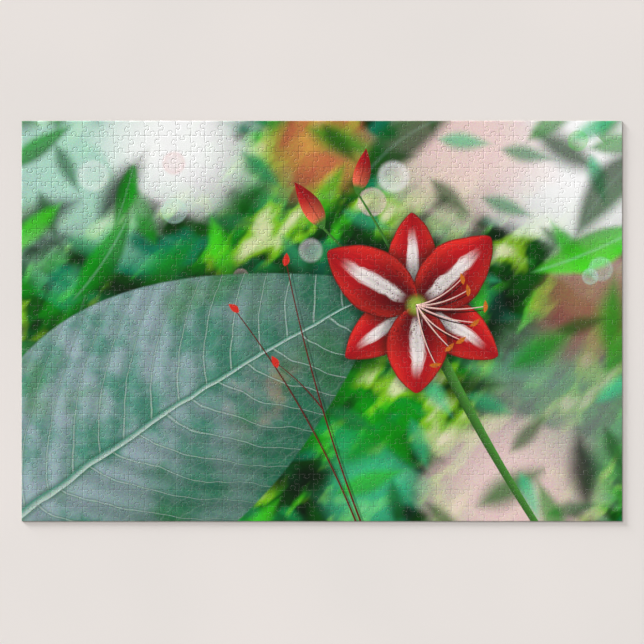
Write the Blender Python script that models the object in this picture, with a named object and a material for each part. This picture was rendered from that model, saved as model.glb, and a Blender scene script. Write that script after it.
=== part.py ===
"""A jigsaw puzzle of about a thousand pieces, put together and lying face up.

A steel rule die cuts the printed board along two families of lines, one running
from left to right and one from front to back. The lines cross at the corners of
every piece, and between two crossings each of them swings out once into a round
knob. The sheet holds thirty-nine columns and twenty-six rows of pieces, too many
for a body each, so the pieces stay joined in blocks. Every block is one solid,
and its edge follows the knobs and hollows of the pieces along it, so that the
blocks lock into each other as the pieces do.

Metres, +Z up. The origin is at the middle of the underside.
"""

import math
import random

import bpy
from mathutils import Vector

# Driving dimensions, in metres
SHEET_WIDTH = 0.762
SHEET_DEPTH = 0.508
BOARD_THICKNESS = 0.002
SEAM_GAP = 0.0003
ON_THE_EDGE = 1e-7

# How many pieces the die cuts, and how many blocks hold them
COLUMNS = 39
ROWS = 26
BLOCK_COLUMNS = 6
BLOCK_ROWS = 4

# The cut, as shares of the pitch from one piece to the next
PITCH = SHEET_WIDTH / COLUMNS
CUT_SEED = 1014
LINE_WANDER = 0.075
CROSSING_WANDER = 0.045
KNOB_PLACE = (0.39, 0.61)
KNOB_REACH = (0.26, 0.30)
HEAD_WIDTH = (0.32, 0.37)
NECK_WIDTH = (0.18, 0.21)
KNOB_LEAN = 0.025
HEAD_TALL = 0.26
NECK_HEIGHT = 0.035
SHOULDER_SPREAD = 0.085
SHOULDER_DIP = 0.012

# How far apart the middles of two heads stay, and how often a knob is drawn again for it
HEAD_SPACING = 0.44
KNOB_TRIES = 30

# The knob's own points that a solid keeps: the two shoulders only soften the cut
SHOULDERS = (0, 8)

# Printed picture and board, as linear colours
FOLIAGE_GREEN = (0.030, 0.260, 0.075)
LEAF_BLUE_GREEN = (0.150, 0.300, 0.250)
BLOSSOM_CRIMSON = (0.330, 0.030, 0.030)
BLUR_ROSE_WHITE = (0.560, 0.480, 0.470)
BOARD_GREY = (0.420, 0.400, 0.370)
PRINT_ROUGHNESS = 0.38
BOARD_ROUGHNESS = 0.85

# Where the picture's main masses lie on the sheet, in metres
BLOSSOM_CENTRE = Vector((0.115, 0.040))
BLOSSOM_RADIUS = 0.105
BLUR_CENTRE = Vector((0.290, 0.190))
BLUR_RADIUS = 0.110
LEAF_TOP_AT_LEFT = 0.090
LEAF_FALL = 0.62


def remove_everything():
    """Empties the scene, whatever it was opened with."""
    for thing in list(bpy.data.objects):
        bpy.data.objects.remove(thing, do_unlink=True)


def line_places(count, length, dice):
    """Where the lines of one family lie. The first and the last are the sheet's own edges."""
    pitch = length / count
    inner = []
    for line in range(1, count):
        inner.append(pitch * (line + dice.uniform(-LINE_WANDER, LINE_WANDER)) - length / 2)
    return [-length / 2, *inner, length / 2]


def crossings(dice):
    """Where the lines cross. A crossing on the sheet's edge wanders only along that edge."""
    wander = CROSSING_WANDER * PITCH
    across = line_places(COLUMNS, SHEET_WIDTH, dice)
    along = line_places(ROWS, SHEET_DEPTH, dice)
    places = {}
    for column, x in enumerate(across):
        for row, y in enumerate(along):
            off = Vector((dice.uniform(-wander, wander), dice.uniform(-wander, wander)))
            if column in (0, COLUMNS):
                off.x = 0.0
            if row in (0, ROWS):
                off.y = 0.0
            places[column, row] = Vector((x, y)) + off
    return places


def knob(start, end, dice):
    """The nine points of one knob between two crossings, and the middle of its head."""
    along = (end - start).normalized()
    out = Vector((-along.y, along.x)) * (1.0 if dice.random() < 0.5 else -1.0)
    foot = start.lerp(end, dice.uniform(*KNOB_PLACE))
    reach = dice.uniform(*KNOB_REACH)
    head = dice.uniform(*HEAD_WIDTH) / 2
    neck = dice.uniform(*NECK_WIDTH) / 2
    lean = dice.uniform(-KNOB_LEAN, KNOB_LEAN)
    middle = reach - HEAD_TALL / 2
    diagonal = math.sqrt(0.5)
    half = [
        (neck + SHOULDER_SPREAD, -SHOULDER_DIP, 0.0),
        (neck, NECK_HEIGHT, 0.0),
        (head, middle, lean),
        (head * diagonal, middle + HEAD_TALL / 2 * diagonal, lean),
    ]
    shape = [(-side + shift, height) for side, height, shift in half]
    shape.append((lean, reach))
    shape += [(side + shift, height) for side, height, shift in reversed(half)]
    points = [foot + (along * side + out * height) * PITCH for side, height in shape]
    return points, foot + (along * lean + out * middle) * PITCH


def cell(place):
    """The square of one pitch that a place lies in."""
    return math.floor(place.x / PITCH), math.floor(place.y / PITCH)


def room_round(head, heads):
    """How near the nearest head cut so far is."""
    column, row = cell(head)
    room = PITCH
    for near_column in (column - 1, column, column + 1):
        for near_row in (row - 1, row, row + 1):
            for other in heads.get((near_column, near_row), ()):
                room = min(room, (head - other).length)
    return room


def clear_knob(start, end, heads, dice):
    """A knob whose head keeps off the others, or the best one of a few tries."""
    best_room = -1.0
    for _ in range(KNOB_TRIES):
        points, head = knob(start, end, dice)
        room = room_round(head, heads)
        if room > best_room:
            best_room, best_points, best_head = room, points, head
        if room >= HEAD_SPACING * PITCH:
            break
    heads.setdefault(cell(best_head), []).append(best_head)
    return best_points


def cut_lines():
    """Both families of lines, as the points between one crossing and the next."""
    dice = random.Random(CUT_SEED)
    places = crossings(dice)
    rightward = {}
    upward = {}
    heads = {}
    for column in range(COLUMNS):
        for row in range(1, ROWS):
            ends = places[column, row], places[column + 1, row]
            rightward[column, row] = clear_knob(*ends, heads, dice)
    for column in range(1, COLUMNS):
        for row in range(ROWS):
            ends = places[column, row], places[column, row + 1]
            upward[column, row] = clear_knob(*ends, heads, dice)
    return places, rightward, upward


def solid_knob(points):
    """The points of a knob that a block's edge keeps."""
    return [point for index, point in enumerate(points) if index not in SHOULDERS]


def seam(places, knobs, first, step, count):
    """One side of a block, from its first crossing up to but not including its last."""
    points = []
    column, row = first
    for _ in range(count):
        points.append(places[column, row])
        points += solid_knob(knobs[column, row])
        column += step[0]
        row += step[1]
    return points


def block_outline(lines, columns, rows):
    """A block's outline, anticlockwise. Its sides along the sheet's own edge are straight."""
    places, rightward, upward = lines
    left, right = columns
    front, back = rows
    wide, deep = right - left, back - front
    lower_left, lower_right = places[left, front], places[right, front]
    upper_left, upper_right = places[left, back], places[right, back]
    front_side = [lower_left]
    right_side = [lower_right]
    back_side = [upper_left]
    left_side = [lower_left]
    if front > 0:
        front_side = seam(places, rightward, (left, front), (1, 0), wide)
    if right < COLUMNS:
        right_side = seam(places, upward, (right, front), (0, 1), deep)
    if back < ROWS:
        back_side = seam(places, rightward, (left, back), (1, 0), wide)
    if left > 0:
        left_side = seam(places, upward, (left, front), (0, 1), deep)
    returning = [upper_right, *reversed(back_side[1:])]
    descending = [upper_left, *reversed(left_side[1:])]
    return front_side + right_side + returning + descending


def drawn_in(outline, distance):
    """The outline moved inwards by half the seam, but left where it is the sheet's own edge."""
    moved = []
    count = len(outline)
    for index, point in enumerate(outline):
        before = (point - outline[index - 1]).normalized()
        after = (outline[(index + 1) % count] - point).normalized()
        both = before + after
        inward = Vector((-both.y, both.x))
        shift = inward * (2.0 * distance / inward.length_squared)
        if abs(abs(point.x) - SHEET_WIDTH / 2) < ON_THE_EDGE:
            shift.x = 0.0
        if abs(abs(point.y) - SHEET_DEPTH / 2) < ON_THE_EDGE:
            shift.y = 0.0
        moved.append(point + shift)
    return moved


def plain_material(name, colour, roughness):
    """A Principled material of one colour."""
    material = bpy.data.materials.new(name)
    material.use_nodes = True
    shader = material.node_tree.nodes["Principled BSDF"]
    shader.inputs["Base Color"].default_value = (*colour, 1.0)
    shader.inputs["Roughness"].default_value = roughness
    shader.inputs["Metallic"].default_value = 0.0
    return material


def picture_colour(place):
    """The picture's main colour at a place on the sheet."""
    if (place - BLOSSOM_CENTRE).length < BLOSSOM_RADIUS:
        return BLOSSOM_CRIMSON
    if (place - BLUR_CENTRE).length < BLUR_RADIUS:
        return BLUR_ROSE_WHITE
    leaf_top = LEAF_TOP_AT_LEFT - LEAF_FALL * (place.x + SHEET_WIDTH / 2)
    if place.y < leaf_top:
        return LEAF_BLUE_GREEN
    return FOLIAGE_GREEN


def make_block(name, outline, colour, board):
    """One block: a flat face at the printed side, given its thickness downwards."""
    mesh = bpy.data.meshes.new(name)
    mesh.from_pydata([(x, y, BOARD_THICKNESS) for x, y in outline], [], [list(range(len(outline)))])
    mesh.materials.append(plain_material("print_" + name, colour, PRINT_ROUGHNESS))
    mesh.materials.append(board)
    block = bpy.data.objects.new(name, mesh)
    bpy.context.scene.collection.objects.link(block)
    body = block.modifiers.new("board", "SOLIDIFY")
    body.thickness = BOARD_THICKNESS
    body.offset = -1.0
    body.material_offset = 1
    body.material_offset_rim = 1
    return block


def split(count, parts):
    """Ends of the runs that share count pieces out among parts, as evenly as they go."""
    return [int(count * part / parts + 0.5) for part in range(parts + 1)]


def build():
    """The whole sheet, block by block. Row 1 is at the front and column 1 at the left."""
    remove_everything()
    lines = cut_lines()
    places = lines[0]
    board = plain_material("greyboard", BOARD_GREY, BOARD_ROUGHNESS)
    column_ends = split(COLUMNS, BLOCK_COLUMNS)
    row_ends = split(ROWS, BLOCK_ROWS)
    for block_row in range(BLOCK_ROWS):
        for block_column in range(BLOCK_COLUMNS):
            left, right = column_ends[block_column : block_column + 2]
            front, back = row_ends[block_row : block_row + 2]
            outline = drawn_in(block_outline(lines, (left, right), (front, back)), SEAM_GAP / 2)
            middle = (places[left, front] + places[right, back]) / 2
            name = f"block_r{block_row + 1}_c{block_column + 1}"
            make_block(name, outline, picture_colour(middle), board)


build()
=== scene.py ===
# %% [markdown]
# A jigsaw puzzle, put together
# A finished puzzle is one picture with a fine net over it. The net is no drawing: every line is a
# real cut with two rolled rims, one that catches the light and one that turns away from it. So all
# of the pieces are built as solid bodies, and shader nodes work out the picture.

# %% Load the frame
import math
import random

import bpy
import numpy as np
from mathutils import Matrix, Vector


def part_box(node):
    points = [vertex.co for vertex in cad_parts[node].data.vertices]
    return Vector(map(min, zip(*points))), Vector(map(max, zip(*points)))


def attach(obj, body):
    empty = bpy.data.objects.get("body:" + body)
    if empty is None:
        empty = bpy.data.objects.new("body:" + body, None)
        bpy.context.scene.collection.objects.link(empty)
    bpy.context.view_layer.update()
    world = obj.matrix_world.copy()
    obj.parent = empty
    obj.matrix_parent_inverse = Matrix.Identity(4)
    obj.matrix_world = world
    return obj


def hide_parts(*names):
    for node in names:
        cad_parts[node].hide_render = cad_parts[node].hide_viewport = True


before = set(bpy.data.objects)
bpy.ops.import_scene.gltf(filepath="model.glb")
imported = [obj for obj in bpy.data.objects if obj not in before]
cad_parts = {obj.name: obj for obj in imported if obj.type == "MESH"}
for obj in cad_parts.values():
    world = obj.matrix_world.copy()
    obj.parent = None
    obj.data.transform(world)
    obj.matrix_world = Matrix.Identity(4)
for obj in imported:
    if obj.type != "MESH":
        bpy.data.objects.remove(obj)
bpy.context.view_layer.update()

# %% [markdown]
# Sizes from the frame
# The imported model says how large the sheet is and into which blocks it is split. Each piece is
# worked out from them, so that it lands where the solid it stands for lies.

FRAME_PLACES = 4
node_corners = np.array([[list(corner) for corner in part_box(node)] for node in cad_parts])
sheet = node_corners[:, 1].max(axis=0) - node_corners[:, 0].min(axis=0)
SHEET_WIDTH, SHEET_DEPTH, BOARD_THICKNESS = (round(float(side), FRAME_PLACES) for side in sheet)
COLUMNS = 39
ROWS = 26
PITCH = SHEET_WIDTH / COLUMNS
print("sheet, in metres:", SHEET_WIDTH, SHEET_DEPTH, BOARD_THICKNESS)
print("pitch, in millimetres:", round(PITCH * 1000, 2))

# %% [markdown]
# The lines of the die
# The die is a board with thin steel rules set into it. One family of rules runs from left to
# right, the other from front to back, and between two crossings each rule swings out into a round
# knob. Hands bend the rules, so no two knobs are alike. A seeded draw from the measured ranges
# gives that mixture, and a knob is drawn again while it crowds its neighbour. The solids were cut
# by this same draw, so the numbers and their order are those of the source.

# %% The ranges that the cut is drawn from, as shares of the pitch
CUT_SEED = 1014
LINE_WANDER = 0.075
CROSSING_WANDER = 0.045
KNOB_PLACE = (0.39, 0.61)
KNOB_REACH = (0.26, 0.30)
HEAD_WIDTH = (0.32, 0.37)
NECK_WIDTH = (0.18, 0.21)
KNOB_LEAN = 0.025
HEAD_TALL = 0.26
NECK_HEIGHT = 0.035
SHOULDER_SPREAD = 0.085
SHOULDER_DIP = 0.012
HEAD_SPACING = 0.44
KNOB_TRIES = 30


# %% Where the lines run and cross
def line_places(count, length, dice):
    """Where the lines of one family lie. The first and the last are the sheet's own edges."""
    offs = [dice.uniform(-LINE_WANDER, LINE_WANDER) for _ in range(1, count)]
    inner = [length / count * (line + off) - length / 2 for line, off in enumerate(offs, 1)]
    return [-length / 2, *inner, length / 2]


def crossings(dice):
    """Where the lines cross. A crossing on the sheet's edge wanders only along that edge."""
    wander = CROSSING_WANDER * PITCH
    across = line_places(COLUMNS, SHEET_WIDTH, dice)
    along = line_places(ROWS, SHEET_DEPTH, dice)
    places = {}
    for column, x in enumerate(across):
        for row, y in enumerate(along):
            off = Vector((dice.uniform(-wander, wander), dice.uniform(-wander, wander)))
            if column in (0, COLUMNS):
                off.x = 0.0
            if row in (0, ROWS):
                off.y = 0.0
            places[column, row] = Vector((x, y)) + off
    return places


# %% One knob
def knob(start, end, dice):
    """The nine points of one knob between two crossings, and the middle of its head."""
    along = (end - start).normalized()
    out = Vector((-along.y, along.x)) * (1.0 if dice.random() < 0.5 else -1.0)
    foot = start.lerp(end, dice.uniform(*KNOB_PLACE))
    reach = dice.uniform(*KNOB_REACH)
    head = dice.uniform(*HEAD_WIDTH) / 2
    neck = dice.uniform(*NECK_WIDTH) / 2
    lean = dice.uniform(-KNOB_LEAN, KNOB_LEAN)
    middle = reach - HEAD_TALL / 2
    diagonal = math.sqrt(0.5)
    half = [
        (neck + SHOULDER_SPREAD, -SHOULDER_DIP, 0.0),
        (neck, NECK_HEIGHT, 0.0),
        (head, middle, lean),
        (head * diagonal, middle + HEAD_TALL / 2 * diagonal, lean),
    ]
    shape = [(-side + shift, height) for side, height, shift in half]
    shape.append((lean, reach))
    shape += [(side + shift, height) for side, height, shift in reversed(half)]
    points = [foot + (along * side + out * height) * PITCH for side, height in shape]
    return points, foot + (along * lean + out * middle) * PITCH


# %% Knobs that keep off each other
def cell(place):
    """The square of one pitch that a place lies in."""
    return math.floor(place.x / PITCH), math.floor(place.y / PITCH)


def room_round(head, heads):
    """How near the nearest head cut so far is."""
    column, row = cell(head)
    near = [(column + across, row + along) for across in (-1, 0, 1) for along in (-1, 0, 1)]
    return min([PITCH, *((head - other).length for square in near for other in heads.get(square, ()))])


def clear_knob(start, end, heads, dice):
    """A knob whose head keeps off the others, or the best one of a few tries."""
    best_room = -1.0
    for _ in range(KNOB_TRIES):
        points, head = knob(start, end, dice)
        room = room_round(head, heads)
        if room > best_room:
            best_room, best_points, best_head = room, points, head
        if room >= HEAD_SPACING * PITCH:
            break
    heads.setdefault(cell(best_head), []).append(best_head)
    return best_points


# %% [markdown]
# A smooth rule through the points
# The solids join a knob's points by straight edges. Here a curve runs through the same points, and
# leaves each in the direction that joins its two neighbours. A Bezier object would do, but there
# are two thousand knobs, and a cubic worked out by numpy takes no time.

# %% A smooth run between two crossings
SPAN_STEPS = 2


def smooth_run(start, knob_points, end):
    """The rule from one crossing up to but not including the next, as an array of points."""
    points = np.array([start, *knob_points, end])
    gaps = np.diff(points, axis=0)
    headings = np.vstack([gaps[0], points[2:] - points[:-2], gaps[-1]])
    headings /= np.linalg.norm(headings, axis=1)[:, None]
    run = []
    for span, gap in enumerate(gaps):
        length = np.linalg.norm(gap)
        for t in np.arange(SPAN_STEPS) / SPAN_STEPS:
            place = points[span] + gap * t * t * (3.0 - 2.0 * t)
            place += headings[span] * t * (1.0 - t) ** 2 * length
            place -= headings[span + 1] * t * t * (1.0 - t) * length
            run.append(place)
    return np.array(run)


def cut_runs():
    """The crossings, and for both families each stretch by the crossing that it starts from."""
    dice = random.Random(CUT_SEED)
    places = crossings(dice)
    heads = {}
    families = []
    for right, up in ((1, 0), (0, 1)):
        family = {}
        for column in range(COLUMNS + up):
            for row in range(ROWS + right):
                start = places[column, row]
                on_edge = row in (0, ROWS) if right else column in (0, COLUMNS)
                if on_edge:
                    family[column, row] = np.array([start])
                else:
                    end = places[column + right, row + up]
                    family[column, row] = smooth_run(start, clear_knob(start, end, heads, dice), end)
        families.append(family)
    return places, families


places, (rightward, upward) = cut_runs()
print("stretches of rule:", len(rightward) + len(upward))


# %% The outline of one piece
def turned_round(run, end):
    """The same stretch walked the other way, from its end up to but not including its start."""
    return np.vstack([[end], run[:0:-1]])


def piece_outline(column, row):
    """A piece's outline, anticlockwise from its front left corner."""
    front = rightward[column, row]
    right = upward[column + 1, row]
    back = turned_round(rightward[column, row + 1], places[column + 1, row + 1])
    left = turned_round(upward[column, row], places[column, row + 1])
    return np.vstack([front, right, back, left])


def inward_of(outline):
    """At each point, the step that moves both of its edges inwards by one."""
    before = outline - np.roll(outline, 1, axis=0)
    before /= np.linalg.norm(before, axis=1)[:, None]
    after = np.roll(before, -1, axis=0)
    both = before + after
    inward = np.column_stack([-both[:, 1], both[:, 0]])
    return inward * (2.0 / (both**2).sum(axis=1))[:, None]


sample = piece_outline(12, 9)
print("points round a piece:", len(sample), "its first corner:", sample[0].round(4))

# %% [markdown]
# A piece of puzzle
# A piece is grey board with printed paper glued on top and plain paper below. The die comes down
# on the printed side, so it rolls the paper's edge down before it cuts, and leaves the lower edge
# almost square. A Bevel modifier would round both edges alike. Here the outline is drawn in step
# by step while it sinks, in rings whose places on the bake map are known. Where a knob bends
# sharply, the roll is narrower, or its rings would fold over each other. Each piece also sits a
# hair higher or lower than the next, and not quite level.

# %% The rim's curve
CUT_HALF_WIDTH = 0.00004
RIM_WIDE = 0.00095
RIM_DEEP = 0.00025
DIE_PRESSURE = (1.75, 0.62)
RIM_STEPS = 4
FLAT_BAND = 0.00008
FOOT_BEVEL = 0.00007
FOLD_MARGIN = 0.75
SHARPEST_TURN = 0.001
RIM_SMOOTHINGS = 2
LIFT_RANGE = 0.00003
TILT_RANGE = math.radians(0.12)
PIECE_SEED = 77
ON_THE_EDGE = 1e-7


def rim_rings():
    """From the flat top to the foot: how far in each ring lies, its height and how far down the rim."""
    rings = [(RIM_WIDE + FLAT_BAND, BOARD_THICKNESS, 0.0)]
    for down in np.arange(RIM_STEPS + 1) / RIM_STEPS:
        rings.append((RIM_WIDE * (1.0 - down), BOARD_THICKNESS, down))
    return [*rings, (0.0, FOOT_BEVEL, 1.0), (FOOT_BEVEL, 0.0, 1.0)]


def rim_depth(plan):
    """The die pressed hardest at the back left, and less and less towards the front right."""
    back_left = ((plan[:, 1] / SHEET_DEPTH) - (plan[:, 0] / SHEET_WIDTH) + 1.0) / 2
    hardest, least = DIE_PRESSURE
    return RIM_DEEP * (least + (hardest - least) * back_left**2)


RINGS = rim_rings()
PRINTED_STRIPS = RIM_STEPS + 1
PRINT, BOARD, BACKING = range(3)
print("rings, in millimetres in from the cut:", [round(inset * 1000, 2) for inset, _, _ in RINGS])

# %% [markdown]
# A flat map for each block
# The picture's formulas read the place on the sheet, but a bake needs a map. The tops of a block's
# pieces keep their plan on most of it, their undersides keep it at a smaller scale in a corner,
# and the cut sides are unrolled one above the other in the strip that is left.

# %% Places on the bake map
MAP_MARGIN = 0.012
TOP_SHARE = 0.80
TOP_PLAN = (MAP_MARGIN, TOP_SHARE)
UNDER_PLAN = ((TOP_SHARE + 2 * MAP_MARGIN, MAP_MARGIN), 0.155)
SIDE_ROWS = 50
SIDE_ROW_FILL = 0.7
SIDE_LEVELS = (1.0, 0.12, 0.0)


class BlockMap:
    """Turns places on a block into places on its map."""

    def __init__(self, low, high):
        self.low = np.array(low)
        self.span = max(np.subtract(high, low))

    def plan(self, points, corner, share):
        return corner + (points - self.low) / self.span * share

    def side(self, along, number, up):
        """along runs from 0 to 1 round the piece, and up from 0 to 1 across its row."""
        room = (1.0 - TOP_SHARE - 3 * MAP_MARGIN) / SIDE_ROWS
        foot = TOP_SHARE + 2 * MAP_MARGIN + number * room
        across = MAP_MARGIN + along * (1.0 - 2 * MAP_MARGIN)
        return np.column_stack([across, np.full(len(across), foot + up * room * SIDE_ROW_FILL)])


# %% How wide the rim can be
def rim_room(outline):
    """At each point, the share of the rim's width that fits before its rings would fold."""
    after = np.roll(outline, -1, axis=0) - outline
    before = np.roll(after, 1, axis=0)
    turn = np.arctan2(before[:, 0] * after[:, 1] - before[:, 1] * after[:, 0], (before * after).sum(axis=1))
    shortened = np.tan(turn / 2)
    shortened = np.maximum(shortened + np.roll(shortened, -1), SHARPEST_TURN)
    room = FOLD_MARGIN * np.linalg.norm(after, axis=1) / shortened
    share = np.minimum(1.0, np.minimum(room, np.roll(room, 1)) / (RIM_WIDE + FLAT_BAND))
    for _ in range(RIM_SMOOTHINGS):
        share = np.minimum(share, 0.5 + 0.5 * np.minimum(np.roll(share, 1), np.roll(share, -1)))
    return share


# %% One piece as rings of points and faces
def piece_rings(outline, dice):
    """The piece's points, ring by ring, from the flat top down to the foot."""
    inward = inward_of(outline)
    cut = inward * CUT_HALF_WIDTH
    for axis, side in enumerate((SHEET_WIDTH, SHEET_DEPTH)):
        cut[np.isclose(np.abs(outline[:, axis]), side / 2, atol=ON_THE_EDGE), axis] = 0.0
    edge = outline + cut
    inward *= rim_room(outline)[:, None]
    middle = edge.mean(axis=0)
    lift = dice.uniform(-2.0 * LIFT_RANGE, 0.0)
    slope = [math.tan(dice.uniform(-TILT_RANGE, TILT_RANGE)) for _ in range(2)]
    rings = []
    for inset, height, down in RINGS:
        plan = edge + inward * inset
        level = np.full(len(plan), height)
        if height == BOARD_THICKNESS:
            level -= down**2 * rim_depth(plan)
            level += lift + (plan - middle) @ slope - np.abs(slope).sum() * PITCH / 2
        rings.append(np.column_stack([plan, level]))
    return np.array(rings)


def piece_faces(rings, block_map, number, first):
    """The piece's faces as point numbers, with a material and map places for each corner."""
    count = rings.shape[1]
    here = np.arange(count)
    after = np.roll(here, -1)
    closed = np.append(here, 0)
    lengths = np.linalg.norm(np.diff(rings[-2][closed, :2], axis=0), axis=1)
    round_share = np.concatenate([[0.0], np.cumsum(lengths)]) / lengths.sum()
    faces, finishes, corners = [], [], []
    top_map = block_map.plan(rings[:, :, :2], *TOP_PLAN)
    for strip in range(len(rings) - 1):
        upper, lower = first + strip * count, first + (strip + 1) * count
        faces += np.column_stack([upper + here, lower + here, lower + after, upper + after]).tolist()
        finishes += [PRINT if strip < PRINTED_STRIPS else BOARD] * count
        if strip < PRINTED_STRIPS:
            over, under = top_map[strip : strip + 2, closed]
        else:
            levels = SIDE_LEVELS[strip - PRINTED_STRIPS :][:2]
            over, under = (block_map.side(round_share, number, up) for up in levels)
        quad = [over[:-1], under[:-1], under[1:], over[1:]]
        corners.append(np.stack(quad, axis=1).reshape(-1, 2))
    faces += [(first + here).tolist(), (first + (len(rings) - 1) * count + here[::-1]).tolist()]
    finishes += [PRINT, BACKING]
    corners += [top_map[0], block_map.plan(rings[-1][::-1, :2], *UNDER_PLAN)]
    return faces, finishes, np.vstack(corners)


# %% Which pieces a block holds
KNOB_MARGIN = PITCH / 3


def pieces_of(node):
    """The columns and rows of the pieces whose middles lie well inside a CAD block's box."""
    low, high = (np.array(corner)[:2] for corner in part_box(node))
    held = []
    for row in range(ROWS):
        for column in range(COLUMNS):
            middle = np.array((places[column, row] + places[column + 1, row + 1]) / 2)
            if (low + KNOB_MARGIN < middle).all() and (middle < high - KNOB_MARGIN).all():
                held.append((column, row))
    return held


# %% Build the pieces of one block
SHARP_ANGLE = math.radians(40)


def block_of_pieces(node, dice):
    """All of a block's pieces as one mesh, each piece a closed body in it."""
    low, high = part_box(node)
    block_map = BlockMap(low[:2], high[:2])
    points, faces, finishes, corners, down_the_rim = [], [], [], [], []
    for number, (column, row) in enumerate(pieces_of(node)):
        rings = piece_rings(piece_outline(column, row), dice)
        new_faces, new_finishes, new_corners = piece_faces(rings, block_map, number, len(down_the_rim))
        points.append(rings.reshape(-1, 3))
        faces += new_faces
        finishes += new_finishes
        corners.append(new_corners)
        down_the_rim += np.repeat([down for _, _, down in RINGS], rings.shape[1]).tolist()
    mesh = bpy.data.meshes.new(node.replace("block", "pieces"))
    mesh.from_pydata(np.vstack(points).tolist(), [], faces)
    mesh.polygons.foreach_set("material_index", finishes)
    mesh.attributes.new("down_the_rim", "FLOAT", "POINT").data.foreach_set("value", down_the_rim)
    mesh.uv_layers.new(name="OFBake").data.foreach_set("uv", np.vstack(corners).ravel())
    mesh.shade_smooth()
    mesh.set_sharp_from_angle(angle=SHARP_ANGLE)
    return mesh


dice = random.Random(PIECE_SEED)
block_meshes = {node: block_of_pieces(node, dice) for node in sorted(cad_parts)}
print("pieces:", sum(len(pieces_of(node)) for node in block_meshes))
print("faces:", sum(len(mesh.polygons) for mesh in block_meshes.values()))


# %% [markdown]
# Wiring nodes in code
# A procedural picture is a long chain of small sums. A thin helper keeps each line to one thought:
# it puts a plain value into a socket, or joins another node's socket to it, and gives back the
# socket that comes out. It also keeps the spot, the place at which patterns and shapes are read.

# %% A helper that wires nodes
COLOUR_IN_UNDER, COLOUR_IN_OVER, COLOUR_OUT = 6, 7, 2
SINGLE_VALUES = ("DOT_PRODUCT", "DISTANCE")


class Wiring:
    """Adds nodes to one tree and joins them."""

    def __init__(self, tree, spot=None):
        self.tree = tree
        self.spot = spot

    def fill(self, sockets, values):
        """Fills sockets by name."""
        for name, value in values.items():
            if isinstance(value, bpy.types.NodeSocket):
                self.tree.links.new(value, sockets[name])
            else:
                sockets[name].default_value = value

    def node(self, kind, *values, named=(), **settings):
        """A node with its settings made, and its sockets filled in order and by name."""
        made = self.tree.nodes.new("ShaderNode" + kind)
        for setting, choice in settings.items():
            setattr(made, setting, choice)
        self.fill(made.inputs, dict(enumerate(values)) | dict(named))
        return made

    def maths(self, operation, *values):
        return self.node("Math", *values, operation=operation).outputs[0]

    def vector_maths(self, operation, *values):
        made = self.node("VectorMath", *values, operation=operation)
        return made.outputs["Value" if operation in SINGLE_VALUES else "Vector"]

    def times(self, *values):
        """The product of all the values."""
        product = values[0]
        for value in values[1:]:
            product = self.maths("MULTIPLY", product, value)
        return product

    def line(self, value, slope, start):
        """slope times value, plus start."""
        return self.maths("MULTIPLY_ADD", value, slope, start)

    def step(self, value, low, high):
        """0 up to low, 1 from high, and a smooth rise between. It falls where low is the larger."""
        curve = {"interpolation_type": "SMOOTHSTEP", "clamp": False}
        return self.node("MapRange", value, low, high, **curve).outputs["Result"]

    def stretch(self, value, low, start, end, high):
        """1 from start to end, and a smooth fall to 0 at low and at high."""
        return self.times(self.step(value, low, start), self.step(value, high, end))

    def band(self, half, off, softness, outer=-1.0):
        """1 where off is well within half of a middle line, and a soft fall to 0 outside it."""
        inside = self.maths("SUBTRACT", half, self.maths("ABSOLUTE", off))
        return self.step(inside, self.times(softness, outer), softness)

    def mix(self, amount, under, over, way="MIX"):
        """The colour over laid on the colour under, as far as amount says."""
        colours = {COLOUR_IN_UNDER: under, COLOUR_IN_OVER: over}
        return self.node("Mix", amount, named=colours, data_type="RGBA", blend_type=way).outputs[COLOUR_OUT]

    def lay(self, under, over, value, low, high, strength=1.0):
        """The colour over laid on the colour under where value has gone from low to high."""
        return self.mix(self.times(self.step(value, low, high), strength), under, over)

    def shade(self, colour, value, slope=1.0, start=0.0):
        """The colour made darker or lighter by slope times value, plus start."""
        level = self.line(value, slope, start)
        grey = self.node("CombineColor", level, level, level).outputs[0]
        return self.mix(1.0, colour, grey, way="MULTIPLY")

    def noise(self, scale, detail, roughness, place=None, output="Fac"):
        values = {"Vector": place or self.spot, "Scale": scale, "Detail": detail, "Roughness": roughness}
        return self.node("TexNoise", named=values).outputs[output]

    def sway(self, scale):
        """Noise to both sides of 0."""
        return self.maths("SUBTRACT", self.noise(scale, 2.0, 0.5), 0.5)

    def seen_from(self, x, y, turn, size):
        """The spot seen from a frame that is moved, turned and scaled."""
        pose = ((x, y, 0.0), (0.0, 0.0, turn), size)
        return self.node("Mapping", self.spot, *pose, vector_type="TEXTURE").outputs[0]

    def along(self, vector, direction):
        """How far a vector reaches along a direction."""
        return self.vector_maths("DOT_PRODUCT", vector, direction)

    def seat(self, given):
        """How far along and across a shape the spot lies, in shares of its size."""
        off = self.vector_maths("SUBTRACT", self.spot, given["Centre"])
        return [self.along(off, given[axis]) for axis in ("Forward", "Sideways")]

    def bump(self, height, strength, distance):
        values = {"Strength": strength, "Distance": distance, "Height": height}
        return self.node("Bump", named=values).outputs["Normal"]

    def place(self, group, **values):
        """A copy of a node group, read at the spot. It gives back the group's outputs."""
        return self.node("Group", node_tree=group, named={"Place": self.spot, **values}).outputs

    def shape(self, group, centre, turn, length, width, **values):
        """A shape's group on its centre. Each of its two axes is divided by the reach along it."""
        x, y = math.cos(turn), math.sin(turn)
        forward, sideways = (x / length, y / length, 0.0), (-y / width, x / width, 0.0)
        return self.place(group, Centre=(*centre, 0.0), Forward=forward, Sideways=sideways, **values)


# %% Groups and inks
SEAT = ("Centre", "Forward", "Sideways")


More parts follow.
